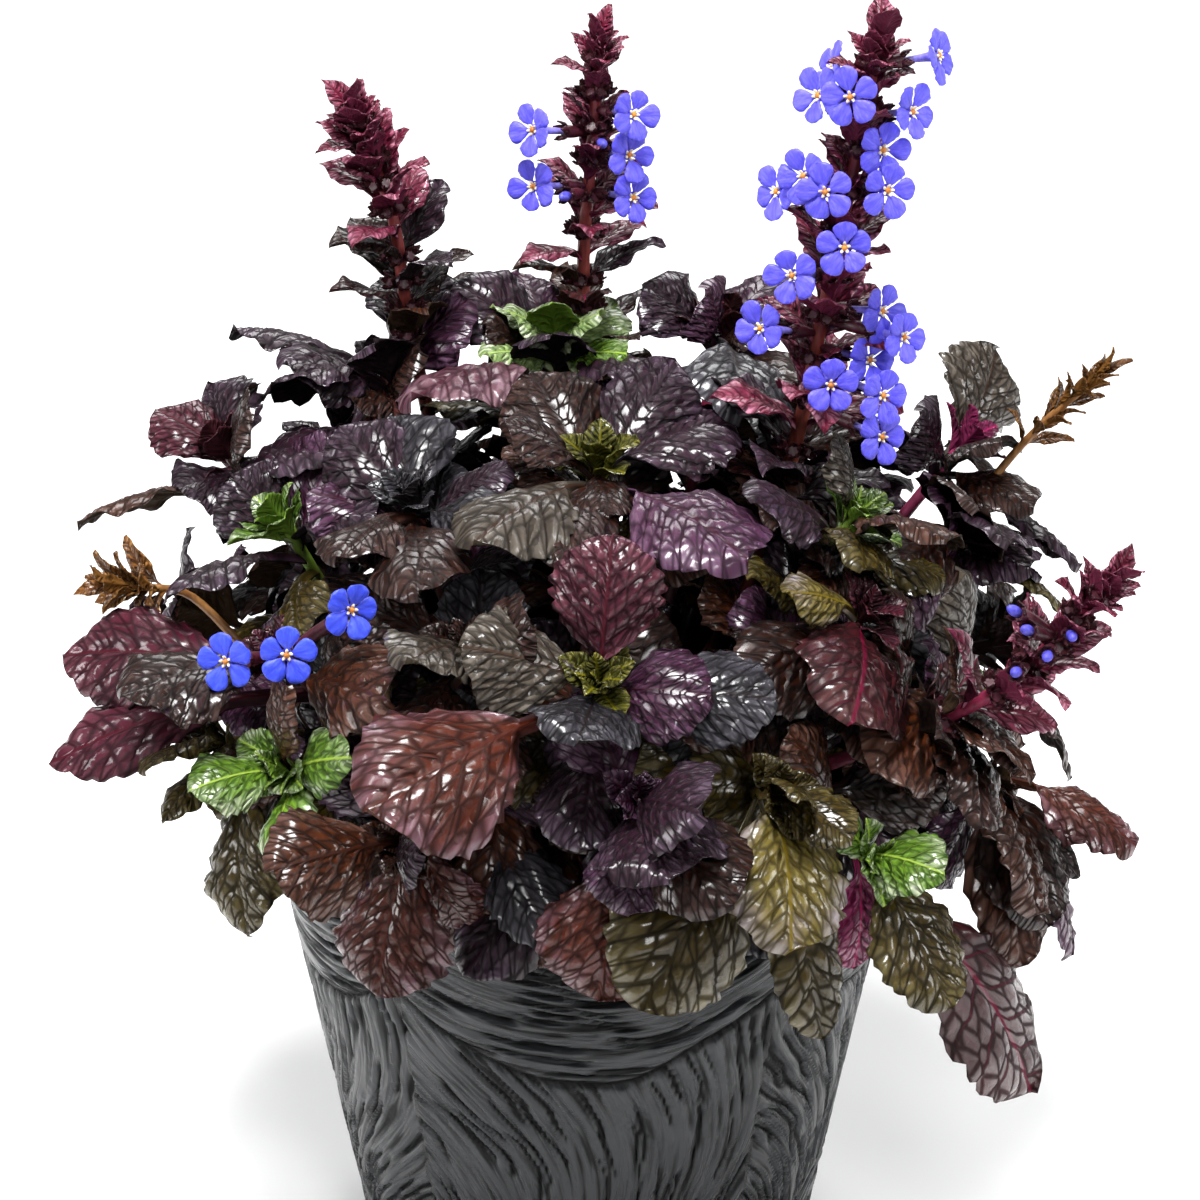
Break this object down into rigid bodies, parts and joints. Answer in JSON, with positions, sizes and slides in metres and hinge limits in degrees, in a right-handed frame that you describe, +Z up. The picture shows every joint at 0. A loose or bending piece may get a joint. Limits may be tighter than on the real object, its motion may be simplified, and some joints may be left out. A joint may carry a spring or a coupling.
{
  "type": "potted bugleweed",
  "caption": "Bugleweed with dark puckered leaves and blue flower spikes, growing in a tapered dark pot; garden or indoor planting.",
  "frame": {"origin": "middle of the pot's foot, on the surface it stands on", "axes": "+Z up along the pot's axis, -Y towards the viewer of the picture, +X to that viewer's right"},
  "size_m": [0.2639, 0.2317, 0.3447],
  "materials": {
    "bloom": "matte",
    "bract": "satin",
    "bronze": "satin",
    "burgundy": "satin",
    "dusk": "satin",
    "fresh": "satin",
    "olive": "satin",
    "pale": "satin",
    "plum": "satin",
    "pot": "gloss",
    "rust": "satin",
    "slate": "satin",
    "soil": "matte",
    "straw": "matte",
    "umber": "satin"
  },
  "bodies": {
    "root": {"bloom_dark_left_1": "bloom", "bloom_dark_left_2": "bloom", "bloom_dark_left_3": "bloom", "bloom_middle_1": "bloom", "bloom_middle_2": "bloom", "bloom_middle_3": "bloom", "bloom_middle_4": "bloom", "bloom_middle_5": "bloom", "bloom_right_1": "bloom", "bloom_right_10": "bloom", "bloom_right_11": "bloom", "bloom_right_12": "bloom", "bloom_right_13": "bloom", "bloom_right_2": "bloom", "bloom_right_3": "bloom", "bloom_right_4": "bloom", "bloom_right_5": "bloom", "bloom_right_6": "bloom", "bloom_right_7": "bloom", "bloom_right_8": "bloom", "bloom_right_9": "bloom", "dried_head_left": "straw", "dried_head_right": "straw", "pot": "pot", "shoot_back_1": "umber", "shoot_back_2": "plum", "shoot_back_3": "dusk", "shoot_back_4": "bronze", "shoot_back_5": "umber", "shoot_back_6": "plum", "shoot_back_7": "dusk", "shoot_bronze_right": "burgundy", "shoot_brown_right": "rust", "shoot_burgundy_back": "burgundy", "shoot_burgundy_left": "burgundy", "shoot_dark_left": "umber", "shoot_dusk_left": "dusk", "shoot_dusk_right": "dusk", "shoot_front": "bronze", "shoot_front_left": "rust", "shoot_front_right": "dusk", "shoot_green_left": "fresh", "shoot_green_low_left": "fresh", "shoot_green_right": "fresh", "shoot_green_right_front": "fresh", "shoot_magenta_right": "bronze", "shoot_middle": "slate", "shoot_middle_left": "umber", "shoot_olive_left": "olive", "shoot_olive_right": "olive", "shoot_pale": "pale", "shoot_silver_right": "olive", "shoot_slate_left": "slate", "soil": "soil", "spike_leaning": "bract", "spike_left": "bract", "spike_middle": "bract", "spike_right": "bract"}
  },
  "joints": []
}
